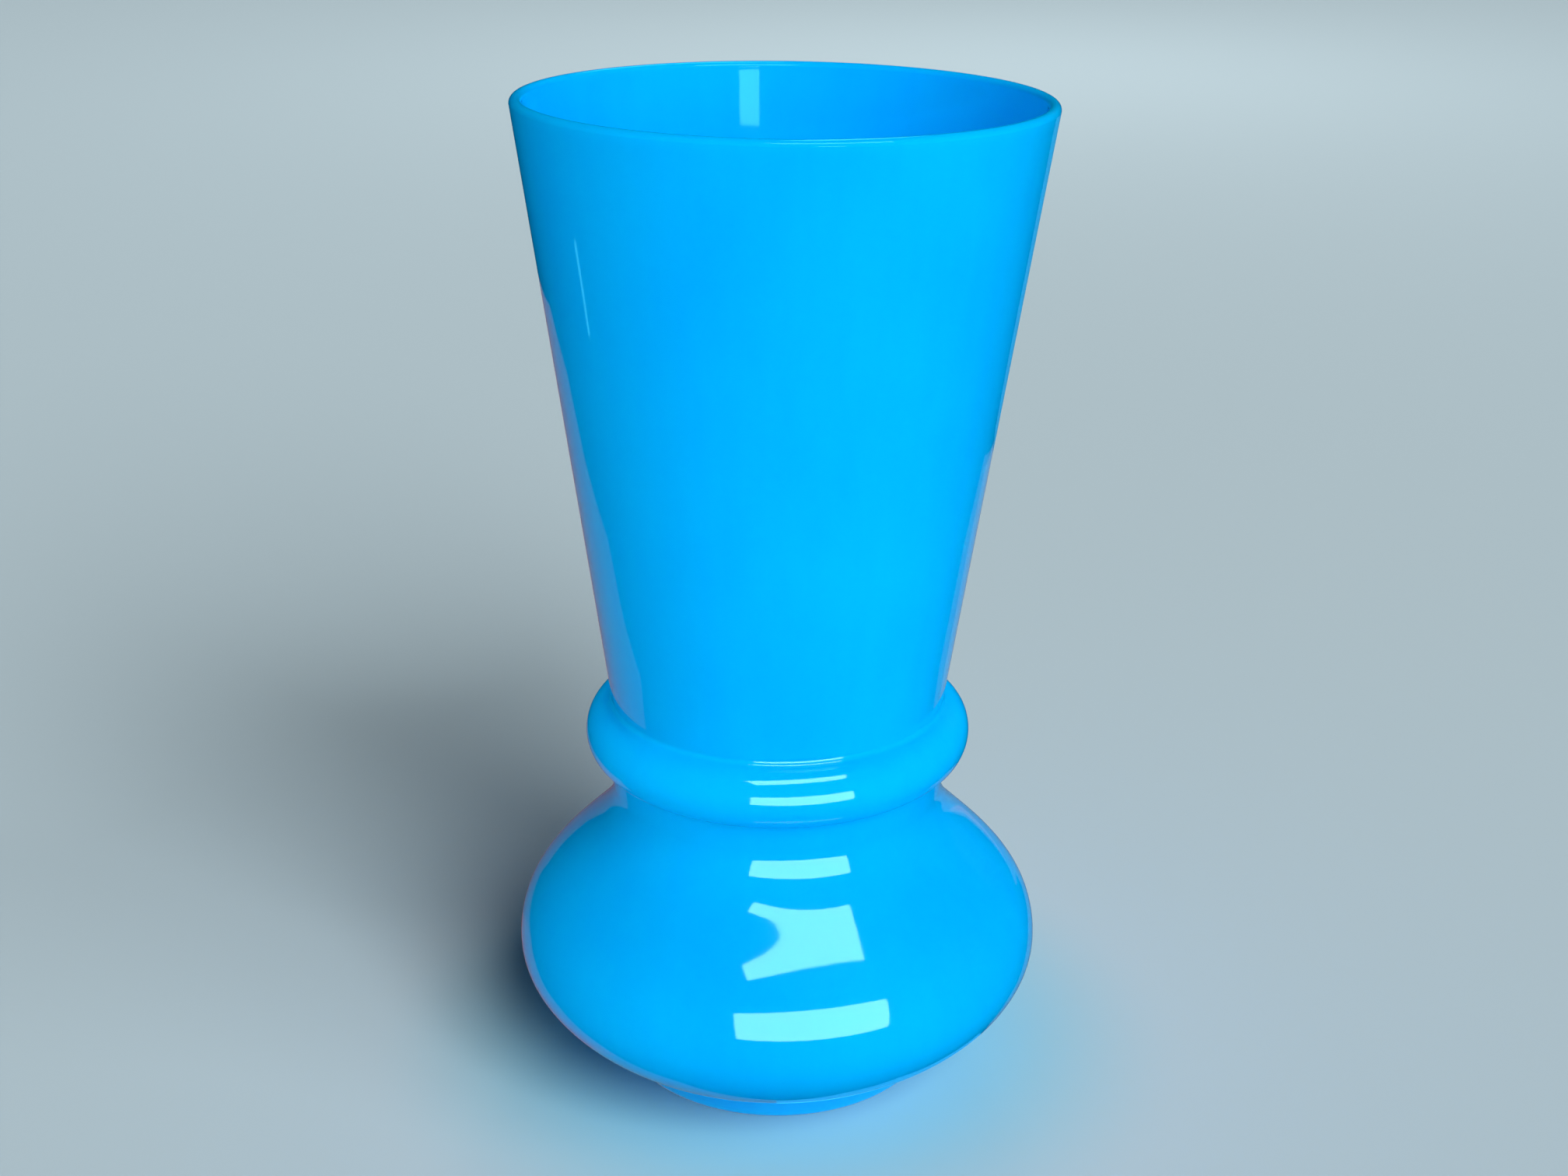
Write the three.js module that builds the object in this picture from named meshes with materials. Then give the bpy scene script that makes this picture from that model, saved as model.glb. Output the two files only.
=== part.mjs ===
// A free-standing flower vase of opaque sky-blue opaline glass. It is made as a glassmaker
// makes it, in four fused stages on one axis: a low foot, a squat blown belly, a solid ring
// round the waist and a tall flared bowl. Each stage meets the next at a flat seam.
// Millimetres, +Z up, with the origin on the axis at the level that the foot stands on.
import * as THREE from 'three';

// Driving dimensions: the whole vase
const vaseHeight = 250;

// Driving dimensions: the foot
const footHeight = 4.7;
const footBottomRadius = 41.5;
const footTopRadius = 39.6;
const footEdgeRound = 0.8;
const footHollowRadius = 29;
const footHollowDepth = 1.6;

// Driving dimensions: the belly, with its heights counted from the top of the foot
const bellyHeight = 78.6;
const bellyRadius = 67.9;
const bellyWideHeight = 28.7;
const bellyWall = 4;
const bellyFloor = 5.5;
const bellyBottomSlope = 23;
const bellyBottomReach = 8.3;
const bellyLowerFullness = 14.6;
const bellyUpperFullness = 13.1;

// Driving dimensions: the shoulder and neck that close the belly in under the ring
const neckLength = 21;
const neckSweep = 6.5;
const shoulderStep = 7.5;
const shoulderSlope = 45;
const shoulderReach = 13.1;

// Driving dimensions: the ring, which stands proud of the waist with an oval section
const ringBulge = 6.6;
const ringHalfWidth = 8;
const ringHalfHeight = 8.3;
const ringCrestAngle = 70;
const ringFillet = 1.7;

// Driving dimensions: the bowl
const waistRadius = 42.4;
const rimRadius = 63.3;
const waistWall = 3.6;
const rimWall = 3;
const bowlLean = 0.6;
const leanStart = 12;

// How finely the round and curved stretches are divided
const facets = 64;
const curveSteps = 6;
const leanSteps = 3;

// Values that follow from the driving dimensions
const degree = Math.PI / 180;
const neckBore = waistRadius - bellyWall;
const waistBore = waistRadius - waistWall;
const ringCore = waistRadius + ringBulge - ringHalfWidth;
const ringRoot = Math.acos((waistRadius - ringCore) / ringHalfWidth);
const ringBottom = footHeight + bellyHeight;
const ringMiddle = ringBottom + ringHalfHeight * Math.sin(ringRoot);
const ringCrest = ringMiddle + ringHalfHeight * Math.sin(ringCrestAngle * degree);
const ringTop = ringCrest + ringFillet;
const bowlFlare = (rimRadius - waistRadius) / (vaseHeight - ringTop);

const opalineGlass = new THREE.MeshStandardMaterial({
  color: 0x00acf5,
  roughness: 0.08,
  metalness: 0,
});

// Turns an outline of (radius, height) points round the upright axis.
function turned(name, outline) {
  const geometry = new THREE.LatheGeometry(outline, facets);
  geometry.rotateX(Math.PI / 2);
  const mesh = new THREE.Mesh(geometry, opalineGlass.clone());
  mesh.name = name;
  return mesh;
}

// A point this far from another, in a direction given in degrees above the outward level.
function stepFrom(point, distance, angle) {
  const across = distance * Math.cos(angle * degree);
  const up = distance * Math.sin(angle * degree);
  return new THREE.Vector2(point.x + across, point.y + up);
}

// A rising outline moved in towards the axis by a wall's thickness, square to the surface.
function insideOf(outline, wall) {
  return outline.map((point, i) => {
    const before = outline[Math.max(i - 1, 0)];
    const after = outline[Math.min(i + 1, outline.length - 1)];
    const along = after.clone().sub(before).normalize();
    return new THREE.Vector2(point.x - wall * along.y, point.y + wall * along.x);
  });
}

// What a rising outline has above a height, with its first point exactly at that height.
function above(outline, height) {
  const next = outline.findIndex((point) => point.y > height);
  const last = outline[next - 1];
  const share = (height - last.y) / (outline[next].y - last.y);
  return [last.clone().lerp(outline[next], share), ...outline.slice(next)];
}

// The low foot: a disc with a shallow hollow beneath, so that it stands on a flat ring.
function foot() {
  const outline = new THREE.Path();
  outline.moveTo(0, footHollowDepth);
  outline.quadraticCurveTo(footHollowRadius / 2, footHollowDepth, footHollowRadius, 0);
  outline.lineTo(footBottomRadius - footEdgeRound, 0);
  outline.quadraticCurveTo(footBottomRadius, 0, footBottomRadius, footEdgeRound);
  outline.lineTo(footTopRadius, footHeight);
  outline.lineTo(0, footHeight);
  return turned('base_foot', outline.getPoints(curveSteps));
}

// The belly's outer surface: out from the foot, round its widest place, over the shoulder
// and in to the foot of the neck.
function bellyOutside() {
  const start = new THREE.Vector2(footTopRadius, footHeight);
  const wide = new THREE.Vector2(bellyRadius, footHeight + bellyWideHeight);
  const shoulder = new THREE.Vector2(waistRadius + shoulderStep, ringBottom - neckLength);
  const foldHeight = shoulder.y + shoulderStep * Math.tan(shoulderSlope * degree);
  const fold = new THREE.Vector2(waistRadius, foldHeight);
  const neck = new THREE.Vector2(waistRadius, foldHeight + neckSweep);
  const curves = [
    new THREE.CubicBezierCurve(
      start,
      stepFrom(start, bellyBottomReach, bellyBottomSlope),
      stepFrom(wide, bellyLowerFullness, -90),
      wide,
    ),
    new THREE.CubicBezierCurve(
      wide,
      stepFrom(wide, bellyUpperFullness, 90),
      stepFrom(shoulder, shoulderReach, -shoulderSlope),
      shoulder,
    ),
    new THREE.QuadraticBezierCurve(shoulder, fold, neck),
  ];
  return [start, ...curves.flatMap((curve) => curve.getPoints(curveSteps).slice(1))];
}

// The squat blown bulb, with its closed floor on the foot and its neck open.
function belly() {
  const outside = bellyOutside();
  const floorTop = footHeight + bellyFloor;
  const inside = above(insideOf(outside, bellyWall), floorTop);
  return turned('round_belly', [
    new THREE.Vector2(0, footHeight),
    ...outside,
    new THREE.Vector2(waistRadius, ringBottom),
    new THREE.Vector2(neckBore, ringBottom),
    ...inside.reverse(),
    new THREE.Vector2(0, floorTop),
  ]);
}

// The solid ring round the waist, with a soft fillet up to the bowl and an open bore.
function ring() {
  const crestAngle = ringCrestAngle * degree;
  const outline = new THREE.Path();
  outline.moveTo(neckBore, ringBottom);
  outline.lineTo(waistRadius, ringBottom);
  outline.absellipse(ringCore, ringMiddle, ringHalfWidth, ringHalfHeight, -ringRoot, crestAngle);
  const turn = ringFillet * 3 / 4;
  outline.quadraticCurveTo(waistRadius - turn * bowlFlare, ringTop - turn, waistRadius, ringTop);
  outline.lineTo(waistBore, ringTop);
  outline.lineTo(neckBore, ringBottom);
  return turned('waist_collar', outline.getPoints(curveSteps));
}

// Leans what stands above the waist seam, gently at first so that the seam stays flat.
function leaned(mesh) {
  const lean = bowlLean * degree;
  const places = mesh.geometry.attributes.position;
  for (let i = 0; i < places.count; i += 1) {
    const rise = Math.max(places.getZ(i) - ringTop, 0);
    const turn = Math.min(rise / leanStart, 1);
    const shift = rise < leanStart ? rise * turn / 2 : rise - leanStart / 2;
    places.setZ(i, places.getZ(i) - lean * turn * places.getX(i));
    places.setX(i, places.getX(i) + lean * shift);
  }
  mesh.geometry.computeVertexNormals();
  return mesh;
}

// The tall flared bowl: a plain cone with a rounded, fire-polished lip, open at both ends.
function bowl() {
  const lipRound = rimWall / 2;
  const lipHeight = vaseHeight - lipRound;
  const outerFoot = new THREE.Vector2(waistRadius, ringTop);
  const outerRim = new THREE.Vector2(rimRadius, lipHeight);
  const innerFoot = new THREE.Vector2(waistBore, ringTop);
  const innerRim = new THREE.Vector2(rimRadius - rimWall, lipHeight);
  const lipMiddle = new THREE.Vector2(rimRadius - lipRound, lipHeight);
  const stops = [0];
  for (let i = 1; i <= leanSteps; i += 1) {
    stops.push(leanStart / (lipHeight - ringTop) * i / leanSteps);
  }
  stops.push(1);
  const lip = [];
  for (let i = 1; i < curveSteps; i += 1) {
    lip.push(stepFrom(lipMiddle, lipRound, 180 * i / curveSteps));
  }
  return leaned(turned('flared_bowl', [
    ...stops.map((share) => outerFoot.clone().lerp(outerRim, share)),
    ...lip,
    ...stops.map((share) => innerFoot.clone().lerp(innerRim, share)).reverse(),
    outerFoot,
  ]));
}

const vase = new THREE.Group();
vase.add(foot(), belly(), ring(), bowl());
export default vase;
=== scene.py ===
import math

import bmesh
import bpy
from mathutils import Matrix, Vector
from mathutils.geometry import interpolate_bezier


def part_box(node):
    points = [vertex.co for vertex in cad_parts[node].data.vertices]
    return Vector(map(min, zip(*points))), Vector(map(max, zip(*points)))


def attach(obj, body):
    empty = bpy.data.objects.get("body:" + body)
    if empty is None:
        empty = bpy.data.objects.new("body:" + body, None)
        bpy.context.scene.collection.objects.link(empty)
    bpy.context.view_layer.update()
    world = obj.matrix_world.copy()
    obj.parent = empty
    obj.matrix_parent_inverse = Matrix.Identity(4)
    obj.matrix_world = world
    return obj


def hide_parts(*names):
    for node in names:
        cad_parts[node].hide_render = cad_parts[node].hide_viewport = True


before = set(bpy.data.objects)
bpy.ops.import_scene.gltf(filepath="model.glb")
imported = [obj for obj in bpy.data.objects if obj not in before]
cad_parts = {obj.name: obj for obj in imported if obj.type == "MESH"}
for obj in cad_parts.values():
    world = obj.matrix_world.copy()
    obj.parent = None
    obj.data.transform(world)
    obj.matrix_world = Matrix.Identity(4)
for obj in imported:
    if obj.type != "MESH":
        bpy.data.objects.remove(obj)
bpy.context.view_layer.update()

MM = 0.001

# The photographed view: a camera fitted to the vase's outline in the 2016 by 1512 frame
IMAGE_WIDTH = 2016
FOCAL_PIXELS = 2700
SENSOR_WIDTH = 36
CAMERA_PLACE = Vector((1.55, -491.4, 319.2)) * MM
CAMERA_PITCH = 21.22
CAMERA_ROLL = 0.18
CAMERA_NEAR = 10 * MM
CAMERA_TURN = (
    Matrix.Rotation(math.radians(90 - CAMERA_PITCH), 3, "X")
    @ Matrix.Rotation(math.radians(CAMERA_ROLL), 3, "Z")
)

# Sizes of the vase that its boxes in the frame give
FOOT_LOW, FOOT_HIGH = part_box("base_foot")
BELLY_LOW, BELLY_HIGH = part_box("round_belly")
RING_LOW, RING_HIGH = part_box("waist_collar")
BOWL_LOW, BOWL_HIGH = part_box("flared_bowl")

# Sizes of the vase that only its outline shows
FOOT_TOP_RADIUS = 39.6 * MM
FOOT_EDGE_ROUND = 0.8 * MM
FOOT_HOLLOW_RADIUS = 29 * MM
FOOT_HOLLOW_DEPTH = 1.6 * MM
BELLY_WIDE_HEIGHT = 28.7 * MM
BELLY_WALL = 4 * MM
BELLY_FLOOR = 5.5 * MM
BELLY_FLOOR_CLEAR = 0.3 * MM
BELLY_FLOOR_STEP = 0.6 * MM
BELLY_BOTTOM_SLOPE = 23
BELLY_BOTTOM_REACH = 8.3 * MM
BELLY_LOWER_FULLNESS = 14.6 * MM
BELLY_UPPER_FULLNESS = 13.1 * MM
NECK_LENGTH = 21 * MM
NECK_SWEEP = 6.5 * MM
SHOULDER_STEP = 7.5 * MM
SHOULDER_SLOPE = 45
SHOULDER_REACH = 13.1 * MM
RING_HALF_WIDTH = 8 * MM
RING_HALF_HEIGHT = 8.3 * MM
RING_CREST_ANGLE = 70
RING_FILLET = 1.7 * MM
WAIST_RADIUS = 42.4 * MM
WAIST_WALL = 3.6 * MM
RIM_RADIUS = 63.3 * MM
RIM_WALL = 3 * MM
RIM_HEIGHT = 250 * MM
BOWL_LEAN = 0.6
LEAN_START = 12 * MM

# Scales of the glass's own detail
CLOUD_SIZE = 45 * MM
DRAW_WIDTH = 5 * MM
DRAW_SHORTEN = 0.05
DRAW_SHARE = 0.4
DRAW_DEPTH = 0.01 * MM
WAVE_SIZE = 30 * MM
WAVE_DEPTH = 0.06 * MM
SEED_SPACING = 26 * MM
SEED_RADIUS = 0.35 * MM
GROUND_DEPTH = 0.1 * MM
SCUFF_SIZE = 1.5 * MM

# Light, where 1 is full white on a surface that faces it. Each light on the glass has
# its compass turn, its rise, and its strength on the foot, belly, ring and bowl.
LIGHT_WIDTH = 36
GLASS_LIGHTS = {
    "key": (30, 36, (0.6, 0.54, 0.708, 0.708)),
    "high": (30, 62, (0, 0.08, 0, 0)),
    "front": (0, 12, (0.3, 0.51, 0.47, 0.49)),
    "right": (90, 12, (0.19, 0.19, 0.24, 0.19)),
    "left": (270, 12, (0.15, 0.21, 0.37, 0.17)),
    "back": (180, 36, (0.1, 0.1, 0.45, 0.45)),
    "back_right": (150, 12, (0.3, 0.7, 0.5, 0.4)),
}
FLOOR_LIGHTS = {
    "shade_near": {"turn": 30, "rise": 36, "strength": 1.1},
    "shade_wide": {"turn": 60, "rise": 36, "strength": 0.351},
    "shade_low": {"turn": 30, "rise": 12, "strength": 0.286},
}
FAR_LAMP = {"place": Vector((257, 1978, 905)) * MM, "radius": 200 * MM, "strength": 0.367}

# The room round the stage, and the glowing sphere that paints a pale warm sheen into the foot
# alone
ROOM_STRENGTH = 0.01
ROOM_MIRRORED = 0.1
# Painted reflection: the sky blue that the glass mirrors the room in, instead of its white
ROOM_MIRRORED_TINT = "#00C0FF"
BACKDROP_COLOUR = "#B9C9D0"
SURROUND_RADIUS = 1
FOOT_SHEEN_STRENGTH = 0.6
FOOT_SHEEN_COLOUR = "#FFD8CB"

# Windows that the glass mirrors: the piece that does, the place on it that they face in
# millimetres, how far off they stand, their compass turn and rise, how wide and how high
# they look in degrees, and their strength and colour
WINDOWS = {
    "window_low_in_belly": ("belly_glass", (10, -64, 43), 700, 15, 10, 66, 34, 19, "#FFCBCB"),
    "window_high_in_belly": ("belly_glass", (7, -51, 61), 700, 18, 58, 46, 8, 19, "#FFCBCB"),
    "window_low_in_ring": ("ring_glass", (8, -47, 93), 300, 14, -2, 62, 28, 19, "#FFCBCB"),
    "window_high_in_ring": ("ring_glass", (7, -45, 98), 700, 18, 62, 44, 14, 19, "#FFCBCB"),
    "window_in_bowl": ("bowl_glass", (-8, 58, 240), 700, 17, 8, 9, 5, 10.5, "#A9CBCB"),
    "window_high_in_bowl": ("bowl_glass", (0, 0, 250), 700, 25, 52, 40, 16, 8, "#A9CBCB"),
    "window_behind_on_lip": ("bowl_glass", (13, -62, 250), 700, 171, 54, 9, 40, 6, "#59CBE0"),
    "window_left_in_bowl": ("bowl_glass", (-44, -38, 210), 350, -108, -21, 1.5, 6, 4, "#59CBE0"),
}

# The plain floor that the vase stands on, and how far round the glass its painted blue glow
# reaches
FLOOR_REACH = 4
PAINTED_GLOW_START = 45 * MM
PAINTED_GLOW_END = 112 * MM

# Glowing cards that paint the parts of the floor that the glass mirrors, each into one piece
# alone: how bright, in what colour, in which piece, and their outlines on the floor in
# millimetres. Each lies a step over the last, because at one height they would hide each other.
MIRRORED_STEP = 0.3 * MM
PAINTED_FLOOR_REFLECTIONS = {
    "left_in_bowl": (0.27, "#F0A088", "bowl_glass", (
        (0, 100), (0, 950), (-220, 880), (-300, 760), (-410, 560), (-400, 360), (-340, 250),
        (-300, 120), (-245, 70), (-210, 20), (-100, 20),
    )),
    "left_in_belly": (0.14, "#FF8F6C", "belly_glass", (
        (-10, 20), (-10, 600), (-300, 500), (-260, 330), (-200, 230), (-165, 110),
        (-150, 60), (-120, 20), (-90, -20), (-65, -37), (-52, -43), (-52, 0),
    )),
    "low_left_in_belly": (0.09, "#FF8F6C", "belly_glass", (
        (-52, -43), (-65, -37), (-90, -20), (-120, 20), (-145, 60), (-140, 75), (-80, 60),
        (-52, 20),
    )),
    # Painted shade: a dark grey card that the belly mirrors as the shadowed floor left of the
    # foot
    "by_foot_left": (1, "#5D6C6F", "belly_glass", (
        (0, 0), (-52, 0), (-52, -43), (-45, -46), (-30, -52), (-15, -51), (0, -49),
    )),
    "left_in_ring": (0.15, "#FF8F6C", "ring_glass", (
        (0, 50), (0, 300), (-140, 220), (-150, 100), (-135, 30), (-60, 30),
    )),
    "low_left_in_ring": (0.12, "#FF8F6C", "ring_glass", (
        (0, 30), (0, 110), (-150, 110), (-135, 30),
    )),
    "right_in_bowl": (0.12, "#FFFFFF", "bowl_glass", (
        (0, 100), (0, 620), (120, 500), (200, 460), (290, 320), (250, 210), (205, 160),
        (180, 130), (150, 120), (100, 100),
    )),
    "far_right_in_bowl": (0.13, "#FFFFFF", "bowl_glass", (
        (0, 100), (0, 620), (120, 500), (200, 450), (255, 350), (220, 260), (175, 200),
        (155, 170), (100, 140),
    )),
    "beyond_right_in_bowl": (1, "#4289AD", "bowl_glass", (
        (0, 480), (0, 1500), (900, 1500), (660, 1140), (520, 910), (455, 785), (400, 690),
        (315, 520), (240, 440), (200, 460), (120, 500),
    )),
    "right_in_belly": (0.14, "#FFFFFF", "belly_glass", (
        (55, 20), (55, 400), (220, 360), (240, 240), (190, 190), (150, 165), (130, 120),
        (118, 60), (98, 20), (80, -5), (65, -15), (55, -10),
    )),
    "far_right_in_belly": (0.2, "#FF8F6C", "belly_glass", (
        (100, 215), (120, 225), (150, 245), (200, 265), (215, 290), (170, 300), (120, 290),
        (90, 250),
    )),
    # Painted reflection of the blue glow on the floor right of the foot
    "by_foot_right": (1, "#3FADF0", "belly_glass", (
        (0, 0), (55, 20), (55, -10), (60, -20), (50, -32), (35, -45), (20, -50), (0, -50),
    )),
    "right_in_ring": (0.2, "#FFFFFF", "ring_glass", (
        (0, 30), (0, 110), (105, 110), (116, 70), (100, 40),
    )),
}

# How finely the turned pieces are divided
TURN_STEPS = 192
CURVE_STEPS = 28
WALL_STEPS = 60
SEAM_STEPS = 6
EDGE_STEPS = 4
SHARP_ANGLE = 40
MERGE_REACH = 1e-6
SURROUND_STEPS = 32


def linear(colour):
    """An sRGB hex colour as linear red, green, blue and alpha."""
    channels = [int(colour[i:i + 2], 16) / 255 for i in (1, 3, 5)]
    return tuple(
        c / 12.92 if c <= 0.04045 else ((c + 0.055) / 1.055) ** 2.4 for c in channels
    ) + (1.0,)


def step_from(point, distance, angle):
    """The point this far from another, in a direction given in degrees above outward level."""
    turn = math.radians(angle)
    return point + distance * Vector((math.cos(turn), 0, math.sin(turn)))


def at(radius, height):
    """A point of an outline, in the plane through the axis."""
    return Vector((radius, 0, height))


def curve(start, start_handle, end_handle, end):
    """The points of one curved stretch of an outline, without its first."""
    return interpolate_bezier(start, start_handle, end_handle, end, CURVE_STEPS)[1:]


def bend(start, corner, end):
    """A stretch that turns once, towards a corner and away again."""
    return curve(start, start.lerp(corner, 2 / 3), end.lerp(corner, 2 / 3), end)


def straight(start, end, steps):
    """Evenly spaced points of a straight stretch, without its first."""
    return [start.lerp(end, i / steps) for i in range(1, steps + 1)]


def arc(middle, across, up, start_angle, end_angle):
    """Points of an elliptical arc, with both its ends."""
    points = []
    for i in range(CURVE_STEPS + 1):
        turn = math.radians(start_angle + (end_angle - start_angle) * i / CURVE_STEPS)
        points.append(middle + Vector((across * math.cos(turn), 0, up * math.sin(turn))))
    return points


def inside_of(outline, wall):
    """A rising outline moved in by a wall's thickness, square to the surface."""
    moved = []
    for i, point in enumerate(outline):
        along = outline[min(i + 1, len(outline) - 1)] - outline[max(i - 1, 0)]
        along.normalize()
        moved.append(point + wall * Vector((-along.z, 0, along.x)))
    return moved


def turned(name, outline, closed):
    """Spins an outline round the upright axis into one closed glass piece."""
    shape = bmesh.new()
    points = [shape.verts.new(point) for point in outline]
    ends = points + points[:1] if closed else points
    for a, b in zip(ends, ends[1:]):
        shape.edges.new((a, b))
    bmesh.ops.spin(
        shape, geom=shape.verts[:] + shape.edges[:], cent=(0, 0, 0), axis=(0, 0, 1),
        angle=math.tau, steps=TURN_STEPS, use_merge=True, use_normal_flip=False,
    )
    bmesh.ops.remove_doubles(shape, verts=shape.verts[:], dist=MERGE_REACH)
    bmesh.ops.recalc_face_normals(shape, faces=shape.faces[:])
    for face in shape.faces:
        face.smooth = True
    for edge in shape.edges:
        edge.smooth = edge.calc_face_angle(0) < math.radians(SHARP_ANGLE)
    mesh = bpy.data.meshes.new(name)
    shape.to_mesh(mesh)
    shape.free()
    piece = bpy.data.objects.new(name, mesh)
    bpy.context.scene.collection.objects.link(piece)
    return piece


def foot():
    """The low foot, a disc that stands on a flat ring round a shallow hollow."""
    radius, top = FOOT_HIGH.x, FOOT_HIGH.z
    hollow = at(FOOT_HOLLOW_RADIUS, 0)
    outline = [at(0, FOOT_HOLLOW_DEPTH)]
    outline += bend(outline[0], at(FOOT_HOLLOW_RADIUS / 2, FOOT_HOLLOW_DEPTH), hollow)
    edge = at(radius - FOOT_EDGE_ROUND, 0)
    outline += straight(hollow, edge, EDGE_STEPS)
    outline += bend(edge, at(radius, 0), at(radius, FOOT_EDGE_ROUND))
    outline += straight(outline[-1], at(FOOT_TOP_RADIUS, top), EDGE_STEPS)
    outline.append(at(0, top))
    return turned("foot_glass", outline, closed=False)


def belly_outside():
    """The belly's outer outline, from the foot to the underside of the ring."""
    start = at(FOOT_TOP_RADIUS, BELLY_LOW.z)
    wide = at(BELLY_HIGH.x, BELLY_LOW.z + BELLY_WIDE_HEIGHT)
    shoulder = at(WAIST_RADIUS + SHOULDER_STEP, BELLY_HIGH.z - NECK_LENGTH)
    fold = at(WAIST_RADIUS, shoulder.z + SHOULDER_STEP * math.tan(math.radians(SHOULDER_SLOPE)))
    neck = fold + Vector((0, 0, NECK_SWEEP))
    outline = [start]
    outline += curve(
        start, step_from(start, BELLY_BOTTOM_REACH, BELLY_BOTTOM_SLOPE),
        step_from(wide, BELLY_LOWER_FULLNESS, -90), wide,
    )
    outline += curve(
        wide, step_from(wide, BELLY_UPPER_FULLNESS, 90),
        step_from(shoulder, SHOULDER_REACH, -SHOULDER_SLOPE), shoulder,
    )
    outline += bend(shoulder, fold, neck)
    return outline + straight(neck, at(WAIST_RADIUS, BELLY_HIGH.z), SEAM_STEPS)


def belly():
    """The squat blown bulb, with a closed floor and an open neck."""
    outside = belly_outside()
    floor_top = BELLY_LOW.z + BELLY_FLOOR
    bore = [p for p in inside_of(outside, BELLY_WALL) if p.z > floor_top + BELLY_FLOOR_CLEAR]
    floor_edge = at(bore[0].x - BELLY_FLOOR_STEP, floor_top)
    outline = [at(0, BELLY_LOW.z)] + outside + bore[::-1] + [floor_edge, at(0, floor_top)]
    return turned("belly_glass", outline, closed=False)


def ring():
    """The solid ring round the waist, with a fillet up to the bowl and an open bore."""
    core = RING_HIGH.x - RING_HALF_WIDTH
    root = math.acos((WAIST_RADIUS - core) / RING_HALF_WIDTH)
    middle = at(core, RING_LOW.z + RING_HALF_HEIGHT * math.sin(root))
    outline = arc(
        middle, RING_HALF_WIDTH, RING_HALF_HEIGHT, -math.degrees(root), RING_CREST_ANGLE
    )
    top = at(WAIST_RADIUS, RING_HIGH.z)
    turn = RING_FILLET * 3 / 4
    flare = (RIM_RADIUS - WAIST_RADIUS) / (RIM_HEIGHT - RING_HIGH.z)
    outline += bend(outline[-1], top - turn * at(flare, 1), top)
    bore_top = at(WAIST_RADIUS - WAIST_WALL, RING_HIGH.z)
    bore_foot = at(WAIST_RADIUS - BELLY_WALL, RING_LOW.z)
    outline += [bore_top] + straight(bore_top, bore_foot, SEAM_STEPS)
    return turned("ring_glass", outline, closed=True)


def bowl():
    """The tall flared bowl with its rounded, fire-polished lip, leaning a little."""
    lip_round = RIM_WALL / 2
    lip_height = RIM_HEIGHT - lip_round
    outer_foot = at(WAIST_RADIUS, BOWL_LOW.z)
    outer_rim = at(RIM_RADIUS, lip_height)
    inner_rim = at(RIM_RADIUS - RIM_WALL, lip_height)
    inner_foot = at(WAIST_RADIUS - WAIST_WALL, BOWL_LOW.z)
    lip = arc(at(RIM_RADIUS - lip_round, lip_height), lip_round, lip_round, 0, 180)
    outline = [outer_foot] + straight(outer_foot, outer_rim, WALL_STEPS) + lip[1:-1]
    outline += [inner_rim] + straight(inner_rim, inner_foot, WALL_STEPS)
    piece = turned("bowl_glass", outline, closed=True)
    lean = math.radians(BOWL_LEAN)
    for vert in piece.data.vertices:
        rise = max(vert.co.z - BOWL_LOW.z, 0)
        turn = min(rise / LEAN_START, 1)
        shift = rise * turn / 2 if rise < LEAN_START else rise - LEAN_START / 2
        vert.co.z -= lean * turn * vert.co.x
        vert.co.x += lean * shift
    return piece


def add(material, kind, links=None, **settings):
    """Adds a node with its settings, and links each named input from a socket."""
    node = material.node_tree.nodes.new(kind)
    for name, value in settings.items():
        if hasattr(node, name):
            setattr(node, name, value)
        else:
            node.inputs[name.replace("_", " ")].default_value = value
    for name, source in (links or {}).items():
        material.node_tree.links.new(source, node.inputs[name])
    return node


def blank(name):
    """A new material with no nodes."""
    material = bpy.data.materials.new(name)
    material.use_nodes = True
    material.node_tree.nodes.clear()
    return material


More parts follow.
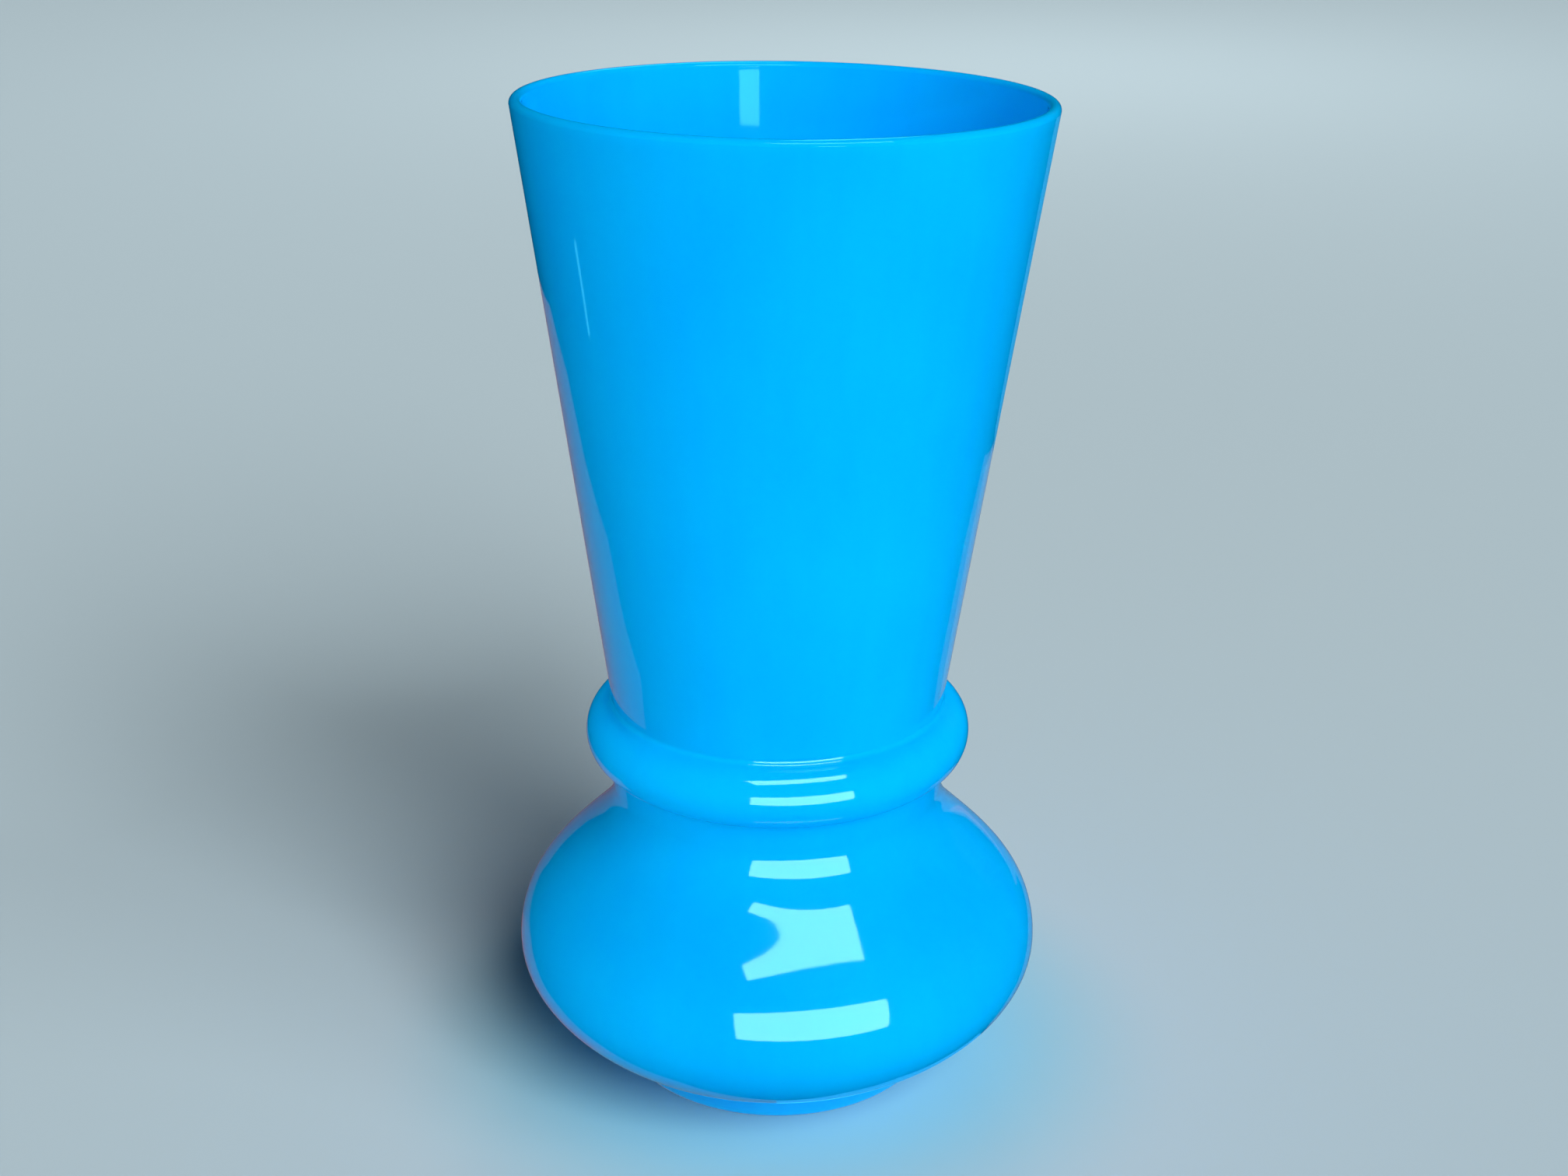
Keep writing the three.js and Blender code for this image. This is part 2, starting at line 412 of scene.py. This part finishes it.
def opaline_glass():
    """Opal glass, blown and fire-polished: a dense milky blue body under a wet, glassy gloss."""
    material = blank("opaline_glass")
    place = add(material, "ShaderNodeTexCoord").outputs["Object"]

    # Slow clouds in the milk of the body, a few centimetres across
    clouds = add(
        material, "ShaderNodeTexNoise", {"Vector": place},
        Scale=1 / CLOUD_SIZE, Detail=2.0, Roughness=0.4,
    )
    # Draw lines, long and faint, that blowing leaves up the wall
    upright = add(material, "ShaderNodeMapping", {"Vector": place}, Scale=(1, 1, DRAW_SHORTEN))
    lines = add(
        material, "ShaderNodeTexNoise", {"Vector": upright.outputs["Vector"]},
        Scale=1 / DRAW_WIDTH, Detail=3.0, Roughness=0.5,
    )
    blend = add(
        material, "ShaderNodeMath",
        {0: lines.outputs["Fac"], 2: clouds.outputs["Fac"]}, operation="MULTIPLY_ADD",
    )
    blend.inputs[1].default_value = DRAW_SHARE
    milk = add(material, "ShaderNodeValToRGB", {"Fac": blend.outputs["Value"]})
    milk.color_ramp.elements[0].position = 0.45
    milk.color_ramp.elements[0].color = linear("#00ACFD")
    milk.color_ramp.elements[1].position = 1.0
    milk.color_ramp.elements[1].color = linear("#02B6FF")

    # Seeds, the few dark specks under a millimetre across that are caught in the glass
    grains = add(
        material, "ShaderNodeTexVoronoi", {"Vector": place}, Scale=1 / SEED_SPACING,
    )
    near = add(material, "ShaderNodeMath", {0: grains.outputs["Distance"]}, operation="LESS_THAN")
    near.inputs[1].default_value = SEED_RADIUS / SEED_SPACING
    colour = add(
        material, "ShaderNodeMix", {"Factor": near.outputs["Value"], 6: milk.outputs["Color"]},
        data_type="RGBA",
    )
    colour.inputs[7].default_value = linear("#0088CE")

    # The standing ring is ground flat, so it is rough and scuffed where the rest is polished
    height = add(material, "ShaderNodeSeparateXYZ", {"Vector": place})
    ground = add(material, "ShaderNodeMath", {0: height.outputs["Z"]}, operation="LESS_THAN")
    ground.inputs[1].default_value = GROUND_DEPTH
    scuffs = add(
        material, "ShaderNodeTexNoise", {"Vector": place}, Scale=1 / SCUFF_SIZE, Detail=4.0,
    )
    rough = add(
        material, "ShaderNodeMath", {0: ground.outputs["Value"], 1: scuffs.outputs["Fac"]},
        operation="MULTIPLY_ADD",
    )
    rough.inputs[2].default_value = 0.05

    # The wall's slow waviness and the draw lines, felt only in how reflections run
    waves = add(
        material, "ShaderNodeTexNoise", {"Vector": place}, Scale=1 / WAVE_SIZE, Detail=1.0,
    )
    wavy = add(
        material, "ShaderNodeBump", {"Height": waves.outputs["Fac"]}, Distance=WAVE_DEPTH,
    )
    drawn = add(
        material, "ShaderNodeBump",
        {"Height": lines.outputs["Fac"], "Normal": wavy.outputs["Normal"]}, Distance=DRAW_DEPTH,
    )
    shader = add(
        material, "ShaderNodeBsdfPrincipled",
        {"Base Color": colour.outputs["Result"], "Roughness": rough.outputs["Value"],
         "Normal": drawn.outputs["Normal"]},
        IOR=1.5, Specular_Tint=linear("#88F8FF"), Subsurface_Weight=0.3,
        Subsurface_Radius=(0.35, 0.8, 1.0), Subsurface_Scale=2.5 * MM,
    )
    add(material, "ShaderNodeOutputMaterial", {"Surface": shader.outputs["BSDF"]})
    return material


def paper():
    """Seamless background paper: dead flat and even, but for a painted blue glow close to the
    glass that stands in for light bounced off it.
    """
    material = blank("background_paper")
    place = add(material, "ShaderNodeTexCoord").outputs["Object"]
    reach = add(material, "ShaderNodeVectorMath", {0: place}, operation="LENGTH")
    share = add(material, "ShaderNodeMapRange", {"Value": reach.outputs["Value"]})
    share.inputs["From Min"].default_value = PAINTED_GLOW_START
    share.inputs["From Max"].default_value = PAINTED_GLOW_END
    # Painted blue glow: the paper is bluer close to the glass, standing in for the blue light
    # that the glass bounces onto it
    painted_glow = add(material, "ShaderNodeValToRGB", {"Fac": share.outputs["Result"]})
    painted_glow.color_ramp.interpolation = "EASE"
    painted_glow.color_ramp.elements[0].color = linear("#7FBAC8")
    painted_glow.color_ramp.elements[1].color = linear("#AFC1C8")
    shader = add(
        material, "ShaderNodeBsdfPrincipled", {"Base Color": painted_glow.outputs["Color"]},
        Roughness=0.9, IOR=1.4,
    )
    shader.inputs["Specular IOR Level"].default_value = 0.1
    add(material, "ShaderNodeOutputMaterial", {"Surface": shader.outputs["BSDF"]})
    return material


def stage_piece(name, shape, material):
    """A piece of the stage, from a finished bmesh."""
    mesh = bpy.data.meshes.new(name)
    shape.to_mesh(mesh)
    shape.free()
    mesh.materials.append(material)
    piece = bpy.data.objects.new(name, mesh)
    bpy.context.scene.collection.objects.link(piece)
    return piece


def floor():
    """A plain level floor."""
    shape = bmesh.new()
    bmesh.ops.create_grid(shape, x_segments=1, y_segments=1, size=FLOOR_REACH)
    piece = stage_piece("floor", shape, paper())
    piece.visible_glossy = False
    return piece


def card_light(name, colour, strength):
    """What the glass mirrors in a card: its back shines, and it hides nothing."""
    material = blank(name)
    side = add(material, "ShaderNodeNewGeometry")
    shine = add(material, "ShaderNodeMath", {0: side.outputs["Backfacing"]}, operation="MULTIPLY")
    shine.inputs[1].default_value = strength
    glow = add(
        material, "ShaderNodeEmission", {"Strength": shine.outputs["Value"]},
        Color=linear(colour),
    )
    clear = add(material, "ShaderNodeBsdfTransparent")
    both = add(material, "ShaderNodeAddShader", {0: glow.outputs[0], 1: clear.outputs[0]})
    add(material, "ShaderNodeOutputMaterial", {"Surface": both.outputs[0]})
    return material


def lit_alone(light, name, pieces):
    """Keeps a light to some pieces."""
    lit = bpy.data.collections.new(name)
    for piece in pieces:
        lit.objects.link(piece)
    light.light_linking.receiver_collection = lit


def card(name, shape, towards, material, pieces):
    """A shining card that shows only where some pieces mirror it, with its back to them."""
    shape.normal_update()
    if sum((face.normal for face in shape.faces), Vector()).dot(towards) > 0:
        bmesh.ops.reverse_faces(shape, faces=shape.faces[:])
    piece = stage_piece(name, shape, material)
    piece.visible_camera = False
    piece.visible_diffuse = False
    piece.visible_transmission = False
    piece.visible_volume_scatter = False
    piece.visible_shadow = False
    lit_alone(piece, name + "_mirror", pieces)


def painted_floor_reflection(name, height, strength, colour, piece, outline):
    """A glowing card just over the floor, which paints a part of the floor into one piece's
    reflection.
    """
    shape = bmesh.new()
    shape.faces.new([shape.verts.new((x * MM, y * MM, height)) for x, y in outline])
    card(name, shape, Vector((0, 0, 1)), card_light(name, colour, strength), [piece])


def surround(name, material, piece):
    """A glowing sphere all round, which paints a sheen into one piece alone as its reflection of
    the lit room.
    """
    shape = bmesh.new()
    bmesh.ops.create_uvsphere(
        shape, u_segments=SURROUND_STEPS, v_segments=SURROUND_STEPS // 2, radius=SURROUND_RADIUS
    )
    card(name, shape, Vector(), material, [piece])


def compass(turn, rise):
    """The direction at a compass turn from the camera's side, to the right, and a rise."""
    turn, rise = math.radians(turn), math.radians(rise)
    return Vector((
        math.sin(turn) * math.cos(rise), -math.cos(turn) * math.cos(rise), math.sin(rise),
    ))


def sun(name, turn, rise, strength, pieces):
    """A broad soft light on some pieces, from a compass turn and a rise, never mirrored."""
    data = bpy.data.lights.new(name, "SUN")
    data.angle = math.radians(LIGHT_WIDTH)
    data.energy = math.pi * strength
    light = bpy.data.objects.new(name, data)
    light.rotation_euler = compass(turn, rise).to_track_quat("Z", "Y").to_euler()
    light.visible_glossy = False
    bpy.context.scene.collection.objects.link(light)
    lit_alone(light, name + "_lit", pieces)


def window(name, piece, target, distance, turn, rise, wide, high, strength, colour):
    """A window light that shows only where one piece mirrors it."""
    data = bpy.data.lights.new(name, "AREA")
    data.shape = "RECTANGLE"
    data.size = 2 * distance * MM * math.tan(math.radians(wide / 2))
    data.size_y = 2 * distance * MM * math.tan(math.radians(high / 2))
    data.color = linear(colour)[:3]
    data.energy = math.pi * data.size * data.size_y * strength
    light = bpy.data.objects.new(name, data)
    way = compass(turn, rise)
    light.location = (Vector(target) + distance * way) * MM
    light.rotation_euler = way.to_track_quat("Z", "Y").to_euler()
    light.visible_camera = False
    light.visible_diffuse = False
    bpy.context.scene.collection.objects.link(light)
    lit_alone(light, name + "_lit", [piece])


def far_lamp(place, radius, strength, pieces):
    """A lamp over the far end of the floor, as bright as a sun of its strength right below."""
    data = bpy.data.lights.new("far_lamp", "POINT")
    data.shadow_soft_size = radius
    data.energy = 4 * math.pi ** 2 * place.z ** 2 * strength
    light = bpy.data.objects.new("far_lamp", data)
    light.location = place
    light.visible_glossy = False
    bpy.context.scene.collection.objects.link(light)
    lit_alone(light, "far_lamp_lit", pieces)


def room():
    """An even, dim room behind a pale backdrop, which the glass mirrors as nearly dark but in a
    painted sky blue, brighter than the white it lights with.
    """
    world = bpy.data.worlds.new("room")
    bpy.context.scene.world = world
    world.use_nodes = True
    world.node_tree.nodes.clear()
    rays = add(world, "ShaderNodeLightPath")
    lit = add(world, "ShaderNodeBackground", Color=(1, 1, 1, 1), Strength=ROOM_STRENGTH)
    # Painted reflection: glossy rays see the room sky blue, not the white it lights with
    dark = add(
        world, "ShaderNodeBackground", Color=linear(ROOM_MIRRORED_TINT), Strength=ROOM_MIRRORED
    )
    pale = add(world, "ShaderNodeBackground", Color=linear(BACKDROP_COLOUR), Strength=1)
    unseen = add(
        world, "ShaderNodeMixShader",
        {0: rays.outputs["Is Glossy Ray"], 1: lit.outputs[0], 2: dark.outputs[0]},
    )
    both = add(
        world, "ShaderNodeMixShader",
        {0: rays.outputs["Is Camera Ray"], 1: unseen.outputs[0], 2: pale.outputs[0]},
    )
    add(world, "ShaderNodeOutputWorld", {"Surface": both.outputs[0]})


def camera():
    """The photograph's own view of the vase."""
    data = bpy.data.cameras.new("camera")
    data.sensor_width = SENSOR_WIDTH
    data.lens = FOCAL_PIXELS / IMAGE_WIDTH * SENSOR_WIDTH
    data.clip_start = CAMERA_NEAR
    view = bpy.data.objects.new("camera", data)
    view.location = CAMERA_PLACE
    view.rotation_euler = CAMERA_TURN.to_euler()
    bpy.context.scene.collection.objects.link(view)
    bpy.context.scene.camera = view


camera()
bpy.context.scene.view_settings.view_transform = "Standard"
glass = opaline_glass()
pieces = {}
for make, node in (
    (foot, "base_foot"), (belly, "round_belly"), (ring, "waist_collar"), (bowl, "flared_bowl"),
):
    piece = make()
    piece.data.materials.append(glass)
    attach(piece, "root")
    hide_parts(node)
    pieces[piece.name] = piece

ground = floor()
for name, (turn, rise, strengths) in GLASS_LIGHTS.items():
    for piece, strength in zip(pieces.values(), strengths):
        if strength:
            sun(f"{name}_on_{piece.name}", turn, rise, strength, [piece])
for name, light in FLOOR_LIGHTS.items():
    sun(name, pieces=[ground], **light)
far_lamp(pieces=[ground], **FAR_LAMP)
room()
for i, (name, (strength, colour, mirror, outline)) in enumerate(PAINTED_FLOOR_REFLECTIONS.items()):
    height = (i + 1) * MIRRORED_STEP
    painted_floor_reflection(name, height, strength, colour, pieces[mirror], outline)
# Painted sheen on the foot alone: a pale warm glowing sphere that only the foot mirrors
painted_foot_sheen = card_light("room_round_foot", FOOT_SHEEN_COLOUR, FOOT_SHEEN_STRENGTH)
surround("round_foot", painted_foot_sheen, pieces["foot_glass"])
for name, (mirror, *settings) in WINDOWS.items():
    window(name, pieces[mirror], *settings)
